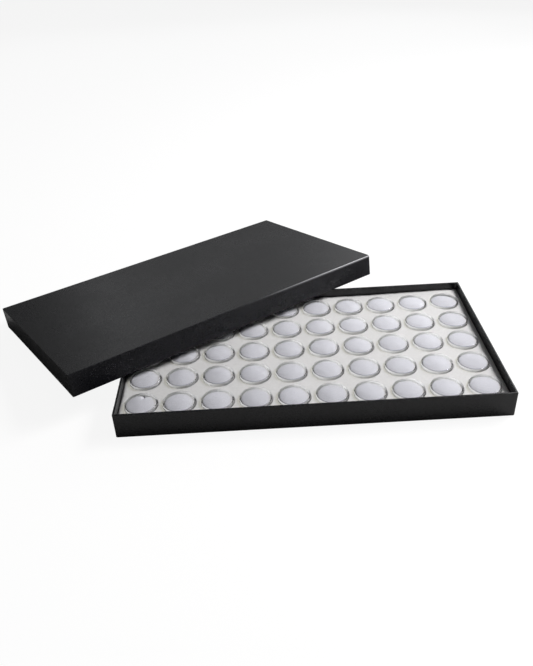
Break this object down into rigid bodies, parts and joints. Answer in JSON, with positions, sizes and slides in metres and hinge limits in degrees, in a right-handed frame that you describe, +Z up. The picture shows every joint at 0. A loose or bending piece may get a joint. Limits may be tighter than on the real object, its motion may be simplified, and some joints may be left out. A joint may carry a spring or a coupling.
{
  "type": "coin display tray",
  "caption": "Shallow black paper-covered tray with a lift-off lid lying askew on it, and a white foam insert with rows of clear round snap-lid jars holding padded coin beds.",
  "frame": {"origin": "middle of the tray's flat underside, on the table", "axes": "+X along the tray's length, +Y across the tray towards the side where the askew lid rests on the table, +Z up"},
  "size_m": [0.535, 0.42, 0.0518],
  "materials": {
    "chipboard": "matte",
    "corner_tape": "matte",
    "black_leatherette": "satin",
    "black_paper": "matte",
    "white_foam": "matte",
    "white_card": "matte",
    "pad_foam": "matte",
    "clear_plastic": "gloss"
  },
  "bodies": {
    "tray": {"tray_board": "chipboard", "tray_corner_stays": "corner_tape", "tray_wrap": "black_leatherette", "tray_base_paper": "black_paper", "tray_liner": "black_paper"},
    "insert": {"foam_insert": "white_foam", "insert_card": "white_card", "jar_cups_row_2": "clear_plastic", "jar_pads_row_2": "pad_foam", "jar_lids_row_2": "clear_plastic", "jar_cups_row_3": "clear_plastic", "jar_pads_row_3": "pad_foam", "jar_lids_row_3": "clear_plastic", "jar_cups_row_4": "clear_plastic", "jar_pads_row_4": "pad_foam", "jar_lids_row_4": "clear_plastic", "jar_cups_row_5": "clear_plastic", "jar_pads_row_5": "pad_foam", "jar_lids_row_5": "clear_plastic"},
    "lid": {"lid_board": "chipboard", "lid_corner_stays": "corner_tape", "lid_wrap": "black_leatherette", "lid_liner": "black_paper"},
    "jar_01": {"jar_cup_01": "clear_plastic", "jar_pad_01": "pad_foam"},
    "cap_01": {"jar_lid_01": "clear_plastic"},
    "jar_02": {"jar_cup_02": "clear_plastic", "jar_pad_02": "pad_foam"},
    "cap_02": {"jar_lid_02": "clear_plastic"},
    "jar_03": {"jar_cup_03": "clear_plastic", "jar_pad_03": "pad_foam"},
    "cap_03": {"jar_lid_03": "clear_plastic"},
    "jar_04": {"jar_cup_04": "clear_plastic", "jar_pad_04": "pad_foam"},
    "cap_04": {"jar_lid_04": "clear_plastic"},
    "jar_05": {"jar_cup_05": "clear_plastic", "jar_pad_05": "pad_foam"},
    "cap_05": {"jar_lid_05": "clear_plastic"},
    "jar_06": {"jar_cup_06": "clear_plastic", "jar_pad_06": "pad_foam"},
    "cap_06": {"jar_lid_06": "clear_plastic"},
    "jar_07": {"jar_cup_07": "clear_plastic", "jar_pad_07": "pad_foam"},
    "cap_07": {"jar_lid_07": "clear_plastic"},
    "jar_08": {"jar_cup_08": "clear_plastic", "jar_pad_08": "pad_foam"},
    "cap_08": {"jar_lid_08": "clear_plastic"},
    "jar_09": {"jar_cup_09": "clear_plastic", "jar_pad_09": "pad_foam"},
    "cap_09": {"jar_lid_09": "clear_plastic"},
    "jar_10": {"jar_cup_10": "clear_plastic", "jar_pad_10": "pad_foam"},
    "cap_10": {"jar_lid_10": "clear_plastic"}
  },
  "joints": [
    {"name": "insert_lift", "type": "slide", "parent": "tray", "child": "insert", "axis": [0, 0, 1], "range_m": [0, 0.05]},
    {"name": "lid_lift", "type": "slide", "parent": "insert", "child": "lid", "axis": [0, 0, 1], "range_m": [0, 0.12]},
    {"name": "jar_lift_01", "type": "slide", "parent": "insert", "child": "jar_01", "axis": [0, 0, 1], "range_m": [0, 0.03]},
    {"name": "jar_lift_02", "type": "slide", "parent": "insert", "child": "jar_02", "axis": [0, 0, 1], "range_m": [0, 0.03]},
    {"name": "jar_lift_03", "type": "slide", "parent": "insert", "child": "jar_03", "axis": [0, 0, 1], "range_m": [0, 0.03]},
    {"name": "jar_lift_04", "type": "slide", "parent": "insert", "child": "jar_04", "axis": [0, 0, 1], "range_m": [0, 0.03]},
    {"name": "jar_lift_05", "type": "slide", "parent": "insert", "child": "jar_05", "axis": [0, 0, 1], "range_m": [0, 0.03]},
    {"name": "jar_lift_06", "type": "slide", "parent": "insert", "child": "jar_06", "axis": [0, 0, 1], "range_m": [0, 0.03]},
    {"name": "jar_lift_07", "type": "slide", "parent": "insert", "child": "jar_07", "axis": [0, 0, 1], "range_m": [0, 0.03]},
    {"name": "jar_lift_08", "type": "slide", "parent": "insert", "child": "jar_08", "axis": [0, 0, 1], "range_m": [0, 0.03]},
    {"name": "jar_lift_09", "type": "slide", "parent": "insert", "child": "jar_09", "axis": [0, 0, 1], "range_m": [0, 0.03]},
    {"name": "jar_lift_10", "type": "slide", "parent": "insert", "child": "jar_10", "axis": [0, 0, 1], "range_m": [0, 0.03]},
    {"name": "cap_lift_01", "type": "slide", "parent": "jar_01", "child": "cap_01", "axis": [0, 0, 1], "range_m": [0, 0.015]},
    {"name": "cap_lift_02", "type": "slide", "parent": "jar_02", "child": "cap_02", "axis": [0, 0, 1], "range_m": [0, 0.015]},
    {"name": "cap_lift_03", "type": "slide", "parent": "jar_03", "child": "cap_03", "axis": [0, 0, 1], "range_m": [0, 0.015]},
    {"name": "cap_lift_04", "type": "slide", "parent": "jar_04", "child": "cap_04", "axis": [0, 0, 1], "range_m": [0, 0.015]},
    {"name": "cap_lift_05", "type": "slide", "parent": "jar_05", "child": "cap_05", "axis": [0, 0, 1], "range_m": [0, 0.015]},
    {"name": "cap_lift_06", "type": "slide", "parent": "jar_06", "child": "cap_06", "axis": [0, 0, 1], "range_m": [0, 0.015]},
    {"name": "cap_lift_07", "type": "slide", "parent": "jar_07", "child": "cap_07", "axis": [0, 0, 1], "range_m": [0, 0.015]},
    {"name": "cap_lift_08", "type": "slide", "parent": "jar_08", "child": "cap_08", "axis": [0, 0, 1], "range_m": [0, 0.015]},
    {"name": "cap_lift_09", "type": "slide", "parent": "jar_09", "child": "cap_09", "axis": [0, 0, 1], "range_m": [0, 0.015]},
    {"name": "cap_lift_10", "type": "slide", "parent": "jar_10", "child": "cap_10", "axis": [0, 0, 1], "range_m": [0, 0.015]}
  ]
}
